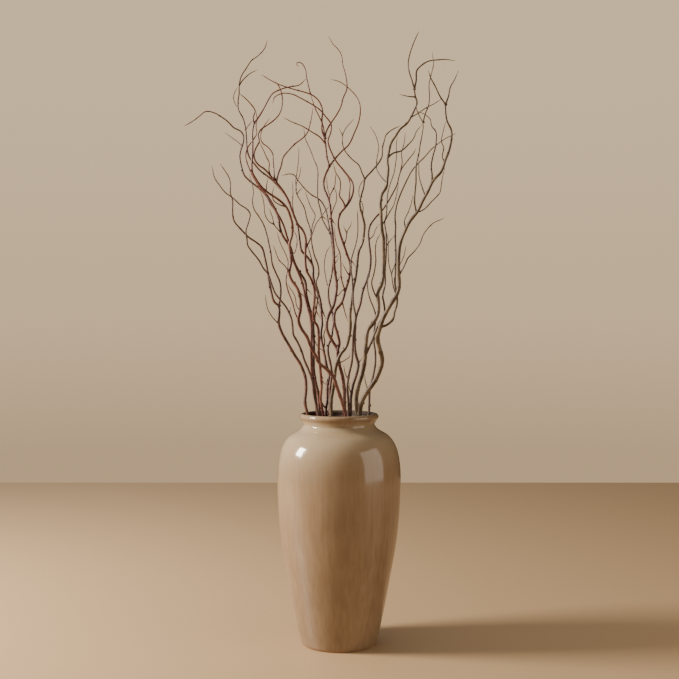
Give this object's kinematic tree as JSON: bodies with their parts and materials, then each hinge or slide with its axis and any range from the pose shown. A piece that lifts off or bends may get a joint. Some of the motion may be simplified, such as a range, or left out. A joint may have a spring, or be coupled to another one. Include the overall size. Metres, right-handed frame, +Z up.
{
  "type": "willow stems in a vase",
  "caption": "Bare curly willow stems with many winding side twigs, standing loose in a tall shouldered glazed floor vase that holds them upright.",
  "frame": {"origin": "middle of the vase's flat underside, on the floor it stands on", "axes": "+Z up along the vase's axis, -Y towards the front, +X to the right seen from the front"},
  "size_m": [0.5898, 0.3762, 1.3523],
  "materials": {
    "vase_glaze": "glossy",
    "bark_red": "matte",
    "bark_brown": "matte",
    "bark_grey": "matte",
    "bark_olive": "satin"
  },
  "bodies": {
    "root": {"vase": "vase_glaze", "stem_far_left": "bark_brown", "stem_thin_left": "bark_grey", "stem_sweeping_left": "bark_brown", "stem_inner_left": "bark_red", "stem_front_left": "bark_red", "stem_crossing": "bark_red", "stem_tall_left": "bark_brown", "stem_left_of_centre": "bark_brown", "stem_tall_centre": "bark_red", "stem_looping": "bark_red", "stem_olive_middle": "bark_olive", "stem_thin_centre": "bark_grey", "stem_curving_right": "bark_brown", "stem_thick_olive": "bark_olive", "stem_thickest_right": "bark_olive", "stem_short_right": "bark_grey"}
  },
  "joints": []
}
